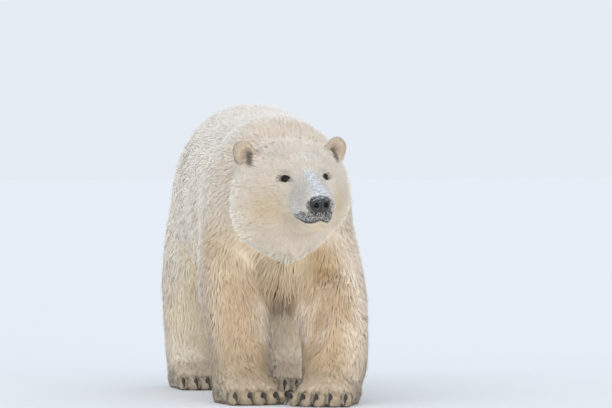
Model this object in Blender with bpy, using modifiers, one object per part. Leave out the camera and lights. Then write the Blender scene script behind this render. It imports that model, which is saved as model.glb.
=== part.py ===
"""A life-size polar bear, standing in mid-stride on a flat floor with its head turned a little to its left.

The bear faces -Y, its left side is +X and the floor is z = 0. The surface modelled is the outside of the
coat. The flesh is lofted from cross-sections, fused by a voxel remesh, smoothed, and parted with thin cuts
into the parts that a person would name. Eyes, nose and claws are solids of their own, set into the flesh.
"""
import bmesh
import bpy
from math import copysign, cos, pi, radians, sin
from mathutils import Matrix, Vector

# Driving dimensions, in metres.
EYE_LEVEL = Vector((-0.010, -0.800, 0.774))   # midpoint between the eyes, the origin of the head frame
HEAD_YAW = radians(8)       # the head turns to the bear's left
HEAD_PITCH = radians(6)     # and its nose drops
HEAD_ROLL = radians(2.4)    # and its left ear rises
EYE_SPACING = 0.140
EYE_RADIUS = 0.0155
EYE_DEPTH = 0.002          # how far ahead of the head frame's origin the eyeballs' centres lie
EYE_DROP = 0.006            # and how far below it
GAP = 0.0006                # how far a cut is moved, along a cutter's corners, to keep neighbours apart

RING_POINTS = 16
VOXEL = 0.008
SMOOTH_PASSES = 14
FLESH_TRIANGLES = 3600
EVENNESS = 0.0004           # how much the simplifying minds edge lengths, rather than the shape alone

# The body from the rump forward to the neck: x, y, half width, top z, bottom z, z of the widest level,
# squareness.
BODY = (
    (0.022, 0.850, 0.070, 0.800, 0.620, 0.69, 2.0),
    (0.022, 0.820, 0.165, 0.880, 0.560, 0.66, 2.0),
    (0.022, 0.760, 0.228, 0.950, 0.500, 0.64, 2.1),
    (0.022, 0.660, 0.270, 1.004, 0.455, 0.62, 2.2),
    (0.022, 0.540, 0.294, 1.026, 0.420, 0.61, 2.2),
    (0.020, 0.400, 0.300, 1.024, 0.388, 0.61, 2.2),
    (0.014, 0.240, 0.292, 1.004, 0.372, 0.60, 2.2),
    (0.006, 0.080, 0.274, 0.988, 0.374, 0.60, 2.2),
    (-0.002, -0.080, 0.264, 0.984, 0.386, 0.61, 2.2),
    (-0.008, -0.220, 0.272, 0.986, 0.400, 0.63, 2.1),
    (-0.010, -0.340, 0.256, 0.972, 0.424, 0.65, 2.1),
    (-0.014, -0.430, 0.228, 0.946, 0.470, 0.68, 2.1),
    (-0.020, -0.500, 0.198, 0.916, 0.536, 0.70, 2.1),
    (-0.026, -0.560, 0.188, 0.894, 0.556, 0.71, 2.1),
)
# The head, in its own frame, from the ruff to the nose: distance ahead of the eyes, shift to the bear's
# left, half width, top, bottom, widest level, squareness.
HEAD = (
    (-0.206, 0.006, 0.214, 0.108, -0.286, -0.098, 2.25),
    (-0.172, 0.006, 0.229, 0.106, -0.310, -0.100, 2.25),
    (-0.132, 0.003, 0.217, 0.096, -0.292, -0.100, 2.25),
    (-0.090, 0.000, 0.190, 0.083, -0.260, -0.096, 2.2),
    (-0.050, 0.000, 0.158, 0.067, -0.230, -0.090, 2.15),
    (-0.016, 0.000, 0.126, 0.048, -0.208, -0.084, 2.15),
    (0.016, 0.000, 0.098, 0.027, -0.192, -0.082, 2.2),
    (0.050, 0.000, 0.079, 0.007, -0.182, -0.086, 2.3),
    (0.086, 0.000, 0.071, -0.009, -0.176, -0.090, 2.4),
    (0.122, 0.000, 0.068, -0.022, -0.174, -0.094, 2.5),
    (0.150, 0.000, 0.063, -0.031, -0.170, -0.096, 2.6),
    (0.166, 0.000, 0.048, -0.044, -0.156, -0.098, 2.5),
)
# Each leg, from inside the trunk to the sole: z, x, y, half width, reach ahead, reach behind.
LEGS = {
    "foreleg_right": (
        (0.78, -0.115, -0.240, 0.090, 0.110, 0.130),
        (0.66, -0.150, -0.260, 0.122, 0.150, 0.160),
        (0.54, -0.165, -0.280, 0.120, 0.145, 0.170),
        (0.42, -0.172, -0.300, 0.120, 0.128, 0.170),
        (0.34, -0.170, -0.320, 0.118, 0.118, 0.158),
        (0.26, -0.160, -0.340, 0.111, 0.110, 0.114),
        (0.17, -0.156, -0.362, 0.107, 0.103, 0.096),
        (0.10, -0.156, -0.378, 0.104, 0.100, 0.090),
        (0.04, -0.156, -0.390, 0.096, 0.090, 0.085),
    ),
    "foreleg_left": (
        (0.78, 0.090, -0.250, 0.090, 0.110, 0.130),
        (0.66, 0.118, -0.280, 0.122, 0.150, 0.160),
        (0.54, 0.134, -0.320, 0.126, 0.150, 0.170),
        (0.43, 0.150, -0.365, 0.128, 0.132, 0.170),
        (0.35, 0.152, -0.405, 0.129, 0.120, 0.158),
        (0.27, 0.150, -0.445, 0.127, 0.112, 0.116),
        (0.19, 0.148, -0.482, 0.124, 0.106, 0.102),
        (0.12, 0.142, -0.512, 0.118, 0.102, 0.096),
        (0.04, 0.134, -0.530, 0.104, 0.090, 0.085),
    ),
    "hindleg_right": (
        (0.74, -0.100, 0.520, 0.120, 0.180, 0.170),
        (0.62, -0.128, 0.500, 0.148, 0.205, 0.290),
        (0.50, -0.146, 0.490, 0.146, 0.205, 0.268),
        (0.40, -0.158, 0.505, 0.141, 0.185, 0.214),
        (0.30, -0.168, 0.545, 0.124, 0.150, 0.152),
        (0.20, -0.176, 0.575, 0.106, 0.116, 0.110),
        (0.11, -0.178, 0.585, 0.097, 0.102, 0.104),
        (0.04, -0.178, 0.585, 0.088, 0.090, 0.098),
    ),
    "hindleg_left": (
        (0.74, 0.130, 0.500, 0.120, 0.180, 0.170),
        (0.62, 0.156, 0.450, 0.148, 0.205, 0.310),
        (0.50, 0.168, 0.410, 0.148, 0.200, 0.268),
        (0.40, 0.172, 0.385, 0.138, 0.178, 0.206),
        (0.30, 0.168, 0.385, 0.122, 0.144, 0.144),
        (0.20, 0.162, 0.398, 0.104, 0.112, 0.112),
        (0.11, 0.158, 0.404, 0.095, 0.100, 0.104),
        (0.04, 0.158, 0.404, 0.086, 0.090, 0.098),
    ),
}
# Each paw: x and y of its middle, the turn of its toes to the bear's left, its length and width.
PAWS = {
    "forepaw_right": (-0.148, -0.430, radians(14), 0.275, 0.222),
    "forepaw_left": (0.112, -0.570, radians(-26), 0.285, 0.228),
    "hindpaw_right": (-0.172, 0.525, radians(6), 0.315, 0.200),
    "hindpaw_left": (0.156, 0.340, radians(-8), 0.315, 0.200),
}
# A paw's shape, from heel to toes: place along its length and half width, as shares of its length and
# width, then its height.
PAW_SHAPE = (
    (-0.50, 0.22, 0.050),
    (-0.44, 0.36, 0.080),
    (-0.25, 0.45, 0.112),
    (0.00, 0.48, 0.124),
    (0.18, 0.49, 0.108),
    (0.31, 0.45, 0.080),
    (0.38, 0.34, 0.050),
)
SOLE_DEPTH = 0.016          # how far the fused flesh reaches below the floor before its soles are cut flat
TOES = 5
TOE_RADIUS = 0.027
CLAW_LENGTH = 0.050
CLAW_RADIUS = 0.0085
TAIL_X = 0.022
TAIL = (                    # from inside the rump to the tip: y, z, half width, half thickness
    (0.770, 0.800, 0.052, 0.042),
    (0.840, 0.755, 0.050, 0.038),
    (0.884, 0.695, 0.046, 0.034),
    (0.906, 0.632, 0.040, 0.028),
    (0.910, 0.585, 0.024, 0.018),
)
EAR_CENTRE = (0.156, -0.157, 0.054)
EAR_RADII = (0.041, 0.023, 0.052)
EAR_CUP = Vector((-0.006, 0.019, -0.004))    # the middle of the hollow, in the ear's own frame
EAR_CUP_RADII = (0.027, 0.021, 0.038)
EAR_TURN = radians(24)      # the ears open outward
EAR_LEAN = radians(16)      # and lean outward
NOSE_CENTRE = (0, 0.152, -0.071)
NOSE_SIZE = (0.088, 0.046, 0.064)
NOSTRIL_SPACING = 0.036
# The lower jaw, from the side, as (y, z) corners in the head frame: its top is the mouth line.
JAW_SIDE = ((0.058, -0.114), (0.250, -0.153), (0.250, -0.400), (0.058, -0.400))

# Where the flesh is parted. Head frame: the head lies ahead of this.
HEAD_BACK = -0.214
# The neck, from the side, as (y, z) corners.
NECK_SIDE = ((-0.95, 0.46), (-0.525, 0.46), (-0.335, 1.00), (-0.335, 1.20), (-0.95, 1.20))
# Each leg, from the front, as (x, z) corners, and the (y) reach of its cut.
LEG_CUTS = {
    "foreleg_right": (((-0.45, -0.10), (-0.005, -0.10), (-0.005, 0.36), (-0.045, 0.40), (-0.330, 0.66),
                       (-0.45, 0.66)), (-0.58, -0.10)),
    "foreleg_left": (((0.45, -0.10), (-0.20, -0.10), (-0.20, 0.20), (-0.010, 0.36), (0.025, 0.40),
                      (0.320, 0.66), (0.45, 0.66)), (-0.90, -0.12)),
    "hindleg_right": (((-0.45, -0.10), (0.008, -0.10), (0.008, 0.36), (-0.330, 0.66), (-0.45, 0.66)),
                      (0.235, 1.00)),
    "hindleg_left": (((0.45, -0.10), (0.012, -0.10), (0.012, 0.36), (0.350, 0.66), (0.45, 0.66)),
                     (0.155, 1.00)),
}
KNEE_LEVEL = 0.315          # elbows and knees are cut at this height
WRIST_LEVEL = 0.118         # wrists and ankles at this one

X_AXIS, Y_AXIS, Z_AXIS = Vector((1, 0, 0)), Vector((0, 1, 0)), Vector((0, 0, 1))
CREAM = (0.80, 0.72, 0.58, 1)
BLACK = (0.02, 0.018, 0.018, 1)
BROWN = (0.03, 0.018, 0.012, 1)


def clear_scene():
    for obj in list(bpy.data.objects):
        bpy.data.objects.remove(obj)


def new_collection(name):
    collection = bpy.data.collections.new(name)
    bpy.context.scene.collection.children.link(collection)
    return collection


def new_material(name, colour, roughness):
    material = bpy.data.materials.new(name)
    material.use_nodes = True
    shader = material.node_tree.nodes["Principled BSDF"]
    shader.inputs["Base Color"].default_value = colour
    shader.inputs["Roughness"].default_value = roughness
    shader.inputs["Metallic"].default_value = 0
    return material


def mesh_from(bm, name):
    bmesh.ops.recalc_face_normals(bm, faces=bm.faces)
    mesh = bpy.data.meshes.new(name)
    bm.to_mesh(mesh)
    bm.free()
    return mesh


def evaluated(mesh, *modifiers, group=None):
    """The mesh after these modifiers, each a (type, settings) pair."""
    obj = bpy.data.objects.new("shaping", mesh)
    bpy.context.scene.collection.objects.link(obj)
    if group:
        weights = obj.vertex_groups.new(name="weights")
        for vertex in mesh.vertices:
            weights.add([vertex.index], group(vertex.co), "REPLACE")
    for kind, settings in modifiers:
        modifier = obj.modifiers.new(kind, kind)
        for setting, value in settings.items():
            setattr(modifier, setting, value)
    graph = bpy.context.evaluated_depsgraph_get()
    made = bpy.data.meshes.new_from_object(obj.evaluated_get(graph))
    bpy.data.objects.remove(obj)
    return made


def ring(centre, across, up, half_width, rise, drop, squareness=2.0):
    """One cross-section: a rounded outline whose upper and lower halves have their own heights."""
    points = []
    for i in range(RING_POINTS):
        turn = 2 * pi * i / RING_POINTS
        x = copysign(abs(cos(turn)) ** (2 / squareness), cos(turn)) * half_width
        z = copysign(abs(sin(turn)) ** (2 / squareness), sin(turn)) * (rise if sin(turn) > 0 else drop)
        points.append(centre + across * x + up * z)
    return points


def loft(rings, levels=2):
    """A closed tube through the rings, rounded by subdivision."""
    bm = bmesh.new()
    loops = [[bm.verts.new(point) for point in points] for points in rings]
    for a, b in zip(loops, loops[1:]):
        for i in range(len(a)):
            j = (i + 1) % len(a)
            bm.faces.new((a[i], a[j], b[j], b[i]))
    bm.faces.new(loops[0])
    bm.faces.new(loops[-1])
    mesh = mesh_from(bm, "loft")
    return evaluated(mesh, ("SUBSURF", {"levels": levels, "render_levels": levels}))


def ellipsoid(centre, radii, turn=None, segments=16):
    bm = bmesh.new()
    bmesh.ops.create_uvsphere(bm, u_segments=segments, v_segments=segments // 2, radius=1)
    matrix = Matrix.Translation(centre) @ (turn or Matrix.Identity(4)) @ Matrix.Diagonal((*radii, 1))
    bmesh.ops.transform(bm, matrix=matrix, verts=bm.verts)
    return mesh_from(bm, "ellipsoid")


def head_matrix():
    """The head frame: x to the bear's left, y ahead of the eyes, z up."""
    turn = Matrix.Rotation(HEAD_YAW, 4, "Z") @ Matrix.Rotation(HEAD_PITCH, 4, "X")
    facing = Matrix.Diagonal((1, -1, 1, 1))
    return Matrix.Translation(EYE_LEVEL) @ turn @ facing @ Matrix.Rotation(-HEAD_ROLL, 4, "Y")


def head_point(x, y, z):
    return head_matrix() @ Vector((x, y, z))


def paw_matrix(paw):
    """A paw's frame on the floor: x to the bear's left, y from heel to toes, z up."""
    x, y, turn, _, _ = PAWS[paw]
    return Matrix.Translation((x, y, 0)) @ Matrix.Rotation(turn, 4, "Z") @ Matrix.Diagonal((1, -1, 1, 1))


def spine_rings():
    """The rings from the rump, along trunk, neck and head, to the muzzle."""
    rings = []
    for x, y, half, top, bottom, level, squareness in BODY:
        centre = Vector((x, y, level))
        rings.append(ring(centre, X_AXIS, Z_AXIS, half, top - level, level - bottom, squareness))
    frame = head_matrix()
    across, up = frame.col[0].to_3d(), frame.col[2].to_3d()
    for ahead, shift, half, top, bottom, level, squareness in HEAD:
        centre = frame @ Vector((shift, ahead, level))
        rings.append(ring(centre, across, up, half, top - level, level - bottom, squareness))
    return rings


def leg_rings(rows):
    rings = []
    for z, x, y, half, ahead, behind in rows:
        rings.append(ring(Vector((x, y, z)), X_AXIS, -Y_AXIS, half, ahead, behind, 2.2))
    return rings


def paw_meshes(paw):
    """A broad flat paw with its toes along the front edge."""
    frame = paw_matrix(paw)
    across = frame.col[0].to_3d()
    _, _, _, length, width = PAWS[paw]
    rings = []
    for along, half, height in PAW_SHAPE:
        centre = frame @ Vector((0, along * length, 0.35 * height))
        rings.append(ring(centre, across, Z_AXIS, half * width, 0.65 * height,
                          0.35 * height + SOLE_DEPTH, 2.4))
    meshes = [loft(rings)]
    for centre, turn in toe_places(paw):
        meshes.append(ellipsoid(frame @ centre, (TOE_RADIUS, 1.35 * TOE_RADIUS, TOE_RADIUS),
                                frame.to_3x3().to_4x4() @ turn))
    return meshes


def toe_places(paw):
    """Each toe's centre and turn in the paw's frame, spread along an arc at the front."""
    _, _, _, length, width = PAWS[paw]
    places = []
    for i in range(TOES):
        spread = (i - (TOES - 1) / 2) / ((TOES - 1) / 2)
        x = spread * (0.5 * width - 0.9 * TOE_RADIUS)
        y = length * (0.43 - 0.085 * spread * spread)
        places.append((Vector((x, y, 0.95 * TOE_RADIUS)), Matrix.Rotation(-radians(10) * spread, 4, "Z")))
    return places


def tail_mesh():
    rings = []
    for y, z, half, thickness in TAIL:
        rings.append(ring(Vector((TAIL_X, y, z)), X_AXIS, Vector((0, 0.8, 0.6)), half, thickness, thickness))
    return loft(rings)


def fused_flesh():
    """Trunk, neck, head, legs, paws and tail as one smooth closed surface, reaching below the floor."""
    bm = bmesh.new()
    sources = [loft(spine_rings()), tail_mesh()]
    sources += [loft(leg_rings(rows)) for rows in LEGS.values()]
    for paw in PAWS:
        sources += paw_meshes(paw)
    for mesh in sources:
        bm.from_mesh(mesh)
    joined = mesh_from(bm, "flesh")
    fused = evaluated(joined, ("REMESH", {"mode": "VOXEL", "voxel_size": VOXEL}))
    smooth = evaluated(
        fused,
        ("SMOOTH", {"factor": 0.5, "iterations": SMOOTH_PASSES, "vertex_group": "weights"}),
        group=softness,
    )
    return simplified(smooth, FLESH_TRIANGLES, plainness)


def simplified(mesh, triangles, group=None):
    """The mesh brought to about this many triangles."""
    present = sum(len(polygon.vertices) - 2 for polygon in mesh.polygons)
    settings = {"ratio": triangles / present}
    if group:
        settings.update(vertex_group="weights", vertex_group_factor=EVENNESS)
    return evaluated(mesh, ("DECIMATE", settings), group=group)


def softness(point):
    """How far the surface is smoothed there: least on the face and toes, most where the legs join."""
    if (point - head_point(0, 0.05, -0.06)).length < 0.19:
        return 0.15
    return 0.5 if point.z < 0.13 else 1.0


def plainness(point):
    """How freely the surface may be simplified there: least on the face, most on the trunk and legs."""
    face = (point - head_point(0, 0.05, -0.06)).length
    if face < 0.17:
        return 0.30
    if point.z < 0.13:
        return 0.75
    return 0.70 if face < 0.32 else 0.85


def prism(outline, low, high, axis):
    """A closed prism: an outline of (a, b) points, run from low to high along the third axis."""
    order = {"X": (2, 0, 1), "Y": (0, 2, 1), "Z": (0, 1, 2)}[axis]
    bm = bmesh.new()
    ends = []
    for height in (low, high):
        corners = [(*point, height) for point in outline]
        ends.append([bm.verts.new([corner[i] for i in order]) for corner in corners])
    count = len(outline)
    for i in range(count):
        j = (i + 1) % count
        bm.faces.new((ends[0][i], ends[0][j], ends[1][j], ends[1][i]))
    bm.faces.new(ends[0])
    bm.faces.new(ends[1])
    return mesh_from(bm, "prism")


def box(low, high, matrix=None):
    bm = bmesh.new()
    low, high = Vector(low), Vector(high)
    bmesh.ops.create_cube(bm, size=1)
    place = Matrix.Translation((low + high) / 2) @ Matrix.Diagonal((*(high - low), 1))
    bmesh.ops.transform(bm, matrix=(matrix or Matrix.Identity(4)) @ place, verts=bm.verts)
    return mesh_from(bm, "box")


def grown(mesh, distance=GAP):
    """A copy with each point moved out along its normal."""
    copy = mesh.copy()
    for vertex, normal in zip(copy.vertices, [tuple(v.normal) for v in mesh.vertices]):
        vertex.co += Vector(normal) * distance
    return copy


def combined(mesh, cutter, operation):
    """The mesh after a Boolean with another one, without any crumbs that it leaves."""
    tool = bpy.data.objects.new("tool", cutter)
    bpy.context.scene.collection.objects.link(tool)
    made = evaluated(mesh, ("BOOLEAN", {"operation": operation, "object": tool, "solver": "EXACT"}))
    bpy.data.objects.remove(tool)
    return largest_body(made)


def largest_body(mesh):
    """The one connected piece of the mesh that has the most corners."""
    bm = bmesh.new()
    bm.from_mesh(mesh)
    left, bodies = set(bm.verts), []
    while left:
        body, edge = set(), [left.pop()]
        while edge:
            vertex = edge.pop()
            body.add(vertex)
            near = {link.other_vert(vertex) for link in vertex.link_edges} & left
            left -= near
            edge.extend(near)
        bodies.append(body)
    bodies.sort(key=len)
    crumbs = [vertex for body in bodies[:-1] for vertex in body]
    bmesh.ops.delete(bm, geom=crumbs, context="VERTS")
    return mesh_from(bm, mesh.name)


def parted(mesh, cutter):
    """(the piece inside the cutter, the rest), with a thin gap between them."""
    return combined(mesh, cutter, "INTERSECT"), combined(mesh, grown(cutter), "DIFFERENCE")


def add_node(name, mesh, material, collection):
    mesh.name = name
    mesh.materials.clear()
    mesh.materials.append(material)
    obj = bpy.data.objects.new(name, mesh)
    collection.objects.link(obj)
    mesh.shade_smooth()
    mesh.set_sharp_from_angle(angle=radians(40))
    return obj


def ear_mesh(side):
    """A thick round ear with a hollow in front."""
    outer = ellipsoid((0, 0, 0), EAR_RADII, segments=24)
    cup = ellipsoid(EAR_CUP, EAR_CUP_RADII, segments=24)
    ear = combined(outer, cup, "DIFFERENCE")
    rounded = evaluated(
        ear,
        ("REMESH", {"mode": "VOXEL", "voxel_size": 0.003}),
        ("SMOOTH", {"factor": 0.5, "iterations": 4}),
    )
    made = simplified(rounded, 230)
    turn = Matrix.Rotation(-EAR_TURN, 4, "Z") @ Matrix.Rotation(EAR_LEAN, 4, "Y")
    centre = Matrix.Translation(EAR_CENTRE)
    return placed(made, head_matrix() @ Matrix.Diagonal((side, 1, 1, 1)) @ centre @ turn)


def placed(mesh, matrix):
    bm = bmesh.new()
    bm.from_mesh(mesh)
    bmesh.ops.transform(bm, matrix=matrix, verts=bm.verts)
    return mesh_from(bm, mesh.name)


def nose_mesh():
    """The nose pad, with its two nostrils."""
    block = box([-size / 2 for size in NOSE_SIZE], [size / 2 for size in NOSE_SIZE])
    for vertex in block.vertices:
        if vertex.co.z < 0:
            vertex.co.x *= 0.72
    pad = evaluated(block, ("SUBSURF", {"levels": 3, "render_levels": 3}))
    for vertex in pad.vertices:
        vertex.co *= 1.18
    for side in (-1, 1):
        centre = (side * NOSTRIL_SPACING / 2, NOSE_SIZE[1] / 2, -0.006)
        turn = Matrix.Rotation(side * radians(24), 4, "Y")
        pad = combined(pad, ellipsoid(centre, (0.0075, 0.012, 0.0105), turn, 12), "DIFFERENCE")
    pad = simplified(pad, 280)
    return placed(pad, head_matrix() @ Matrix.Translation(NOSE_CENTRE))


def claw_mesh(paw, centre, turn):
    """A curved tapering claw, from inside the toe to its tip just above the floor."""
    bm = bmesh.new()
    loops = []
    steps, sides = 3, 6
    for i in range(steps):
        share = i / steps
        y = 0.025 + share * CLAW_LENGTH
        z = 0.008 - 0.030 * share * share
        radius = CLAW_RADIUS * (1 - 0.85 * share ** 1.5)
        circle = [2 * pi * j / sides for j in range(sides)]
        loops.append([bm.verts.new((radius * cos(a), y, z + 1.15 * radius * sin(a))) for a in circle])
    tip = bm.verts.new((0, 0.025 + CLAW_LENGTH, 0.008 - 0.030))
    for a, b in zip(loops, loops[1:]):
        for j in range(sides):
            k = (j + 1) % sides
            bm.faces.new((a[j], a[k], b[k], b[j]))
    for j in range(sides):
        bm.faces.new((loops[-1][j], loops[-1][(j + 1) % sides], tip))
    bm.faces.new(loops[0])
    place = paw_matrix(paw) @ Matrix.Translation(centre) @ turn
    bmesh.ops.transform(bm, matrix=place, verts=bm.verts)
    return mesh_from(bm, "claw")


def parted_legs(flesh):
    """({name: mesh} of every leg's three pieces, the flesh without them)."""
    pieces = {}
    for leg, (outline, (front, back)) in LEG_CUTS.items():
        limb, flesh = parted(flesh, prism(outline, front, back, "Y"))
        lower, upper = parted(limb, box((-1, -2, -1), (1, 2, KNEE_LEVEL)))
        paw, shank = parted(lower, box((-1, -2, -1), (1, 2, WRIST_LEVEL)))
        pair, side = leg.split("_")
        pieces[f"upper_{leg}"] = upper
        pieces[f"lower_{leg}"] = shank
        pieces[f"{pair.replace('leg', 'paw')}_{side}"] = paw
    return pieces, flesh


def stand_on_origin(objects):
    """Move every mesh so that the bounding box's bottom centre is the origin."""
    corners = [vertex.co for obj in objects for vertex in obj.data.vertices]
    middle = [(min(c[i] for c in corners) + max(c[i] for c in corners)) / 2 for i in (0, 1)]
    for obj in objects:
        obj.data.transform(Matrix.Translation((-middle[0], -middle[1], 0)))


def main():
    clear_scene()
    bear = new_collection("polar_bear")
    coat = new_material("coat", CREAM, 0.9)
    leather = new_material("nose_leather", BLACK, 0.45)
    horn = new_material("claw_horn", BLACK, 0.35)
    wet = new_material("eye", BROWN, 0.08)

    flesh = combined(fused_flesh(), box((-2, -2, -1), (2, 2, 0)), "DIFFERENCE")
    pieces, flesh = parted_legs(flesh)
    tail, flesh = parted(flesh, box((TAIL_X - 0.09, 0.866, 0.50), (TAIL_X + 0.09, 1.05, 0.82)))
    head, flesh = parted(flesh, box((-0.45, HEAD_BACK, -0.34), (0.45, 0.40, 0.45), head_matrix()))
    neck, trunk = parted(flesh, prism(NECK_SIDE, -0.45, 0.45, "X"))
    nose = nose_mesh()
    head = combined(head, grown(nose), "DIFFERENCE")
    jaw, head = parted(head, placed(prism(JAW_SIDE, -0.14, 0.14, "X"), head_matrix()))
    for side, name in ((1, "left"), (-1, "right")):
        middle = head_point(side * EYE_SPACING / 2, EYE_DEPTH, -EYE_DROP)
        eye = ellipsoid(middle, [EYE_RADIUS] * 3, segments=12)
        head = combined(head, grown(eye), "DIFFERENCE")
        add_node(f"eye_{name}", eye, wet, bear)
        ear = combined(ear_mesh(side), grown(head), "DIFFERENCE")
        add_node(f"ear_{name}", ear, coat, bear)
    for paw in PAWS:
        sockets = bmesh.new()
        for i, (centre, turn) in enumerate(toe_places(paw), 1):
            claw = claw_mesh(paw, centre, turn)
            sockets.from_mesh(grown(claw))
            add_node(f"claw_{paw}_{i}", claw, horn, bear)
        pieces[paw] = combined(pieces[paw], mesh_from(sockets, "sockets"), "DIFFERENCE")
    pieces.update(head=head, jaw=jaw, neck=neck, trunk=trunk, tail=tail)
    for name, mesh in pieces.items():
        add_node(name, mesh, coat, bear)
    add_node("nose", nose, leather, bear)
    stand_on_origin(bear.objects)


main()
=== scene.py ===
"""The looks of a life-size polar bear: a skin under a coat of mesh tufts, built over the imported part."""

from math import cos, pi, radians, sin

import bmesh
import bpy
import numpy as np
from mathutils import Matrix, Vector
from mathutils.bvhtree import BVHTree


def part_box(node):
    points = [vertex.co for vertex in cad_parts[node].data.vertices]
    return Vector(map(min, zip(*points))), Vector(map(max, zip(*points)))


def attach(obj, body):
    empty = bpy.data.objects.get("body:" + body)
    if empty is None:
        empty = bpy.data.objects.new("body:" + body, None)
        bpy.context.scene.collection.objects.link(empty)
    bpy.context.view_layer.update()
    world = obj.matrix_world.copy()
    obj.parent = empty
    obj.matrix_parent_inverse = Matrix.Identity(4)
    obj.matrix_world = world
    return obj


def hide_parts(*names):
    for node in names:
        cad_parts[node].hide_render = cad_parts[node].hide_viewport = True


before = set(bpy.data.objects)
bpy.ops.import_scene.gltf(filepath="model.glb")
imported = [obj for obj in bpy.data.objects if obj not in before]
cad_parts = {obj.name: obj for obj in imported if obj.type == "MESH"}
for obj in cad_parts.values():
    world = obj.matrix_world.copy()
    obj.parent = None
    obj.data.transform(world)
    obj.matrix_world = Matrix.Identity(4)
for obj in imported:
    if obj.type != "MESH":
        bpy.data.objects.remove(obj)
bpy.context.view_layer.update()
RNG = np.random.default_rng(7)

FULL_VOXEL = .004       # the voxel that SKIN_PASSES is meant for
SKIN_VOXEL = FULL_VOXEL
SKIN_PASSES = 36        # how often the fused flesh is smoothed
SKIN_TRIANGLES = 150000
FULL_COAT = 204000
TUFTS = FULL_COAT
BAKE_PATCH = .003       # how wide a tuft's patch is on the unwrap
OFF_FLOOR = .0008       # the lowest that tufts and claws reach
SOLE = .0006            # the height of the skin under the paws

# The head frame of the CAD part: x to the bear's left, y ahead of the eyes, z up.
HEAD_YAW, HEAD_PITCH, HEAD_ROLL = radians(8), radians(6), radians(2.4)
EYE_SPACING, EYE_DEPTH, EYE_DROP = .14, .002, .006
FLESH = [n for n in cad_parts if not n.startswith(("claw", "eye", "nose"))]
FILLED = FLESH + ["eye_left", "eye_right", "nose"]


def mix(a, b, share):
    return a + (b - a) * share


def ramp(low, high, value):
    """A smooth step from 0 at low to 1 at high."""
    share = np.clip((value - low) / (high - low), 0, 1)
    return share * share * (3 - 2 * share)


def bell(value, middle, width):
    return np.exp(-((value - middle) / width) ** 2)


def unit(vectors):
    return vectors / np.maximum(np.linalg.norm(vectors, axis=-1, keepdims=True), 1e-9)


def node_middle(name):
    low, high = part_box(name)
    return (low + high) / 2


EYES = (node_middle("eye_left") + node_middle("eye_right")) / 2
HEAD_TURN = Matrix.Rotation(HEAD_YAW, 4, "Z") @ Matrix.Rotation(HEAD_PITCH, 4, "X")
HEAD_TURN = HEAD_TURN @ Matrix.Diagonal((1, -1, 1, 1)) @ Matrix.Rotation(-HEAD_ROLL, 4, "Y")
HEAD_ROWS = np.array(HEAD_TURN.to_3x3())
HEAD_AT = np.array(EYES - HEAD_TURN @ Vector((0, EYE_DEPTH, -EYE_DROP)))


def in_head(points):
    return (points - HEAD_AT) @ HEAD_ROWS


def from_head(vectors):
    return vectors @ HEAD_ROWS.T


def waves(points, size, seed, count=5):
    """Smooth noise, mostly within 1 of 0, with bumps of about this size."""
    source = np.random.default_rng(seed)
    total = np.zeros(len(points))
    for _ in range(count):
        way = unit(source.normal(size=3)) * (2 * pi / size) * source.uniform(.6, 1.5)
        bend = unit(source.normal(size=3)) * (2 * pi / size) * .5
        total += np.sin(points @ way + 1.3 * np.sin(points @ bend + source.uniform(0, 6.3))
                        + source.uniform(0, 6.3))
    return total / count ** .5 / 1.2


def linked(name, data):
    obj = bpy.data.objects.new(name, data)
    bpy.context.scene.collection.objects.link(obj)
    return obj


def new_object(name, mesh, material, smooth=True):
    mesh.materials.clear()
    mesh.materials.append(material)
    if smooth:
        mesh.shade_smooth()
    return linked(name, mesh)


def mesh_of(bm, name):
    mesh = bpy.data.meshes.new(name)
    bm.to_mesh(mesh)
    bm.free()
    return mesh


def add_rings(bm, rings, flip=False):
    """Join rings of vertices, each to the next, with quads."""
    for a, b in zip(rings, rings[1:]):
        for i in range(len(a)):
            k = (i + 1) % len(a)
            corners = (a[i], a[k], b[k], b[i])
            bm.faces.new(corners[::-1] if flip else corners)


WEIGHT_STEPS = 20


def applied(mesh, kind, weights=None, **settings):
    """The mesh after a modifier of this kind, with these weights on its vertices."""
    obj = linked("shaping", mesh)
    if weights is not None:
        group = obj.vertex_groups.new(name="weights")
        levels = np.round(np.clip(weights, 0, 1) * WEIGHT_STEPS).astype(int)
        for level in np.unique(levels):
            group.add(np.nonzero(levels == level)[0].tolist(), float(level) / WEIGHT_STEPS, "REPLACE")
    modifier = obj.modifiers.new(kind, kind)
    for setting, value in settings.items():
        setattr(modifier, setting, value)
    graph = bpy.context.evaluated_depsgraph_get()
    made = bpy.data.meshes.new_from_object(obj.evaluated_get(graph))
    bpy.data.objects.remove(obj)
    return made


def vectors_of(items, key):
    values = np.empty(len(items) * 3, np.float32)
    items.foreach_get(key, values)
    return values.reshape(-1, 3).astype(float)


def coordinates(mesh):
    return vectors_of(mesh.vertices, "co")


def vertex_normals(mesh):
    return vectors_of(mesh.vertex_normals, "vector")


def set_coordinates(mesh, points):
    mesh.vertices.foreach_set("co", points.astype(np.float32).ravel())
    mesh.update()


# ---- where things are on the body ----

def face_share(points):
    """1 on the face, 0 from the ears back."""
    ly = in_head(points)[:, 1]
    return ramp(-.15, -.04, ly) * ramp(.35, .45, points[:, 2])


def head_share(points):
    """1 on the whole head with its ruff, 0 on the neck."""
    ly = in_head(points)[:, 1]
    return ramp(-.24, -.18, ly) * ramp(.4, .46, points[:, 2])


def ear_share(points):
    """1 on the ears, 0 below their roots."""
    lx, ly, lz = in_head(points).T
    aside = np.abs(lx)
    reach = (aside - .158) ** 2 + (ly + .157) ** 2 * 1.5
    return ramp(.0032, .0016, reach) * ramp(.03, .048, lz + .35 * (aside - .15))


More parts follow.
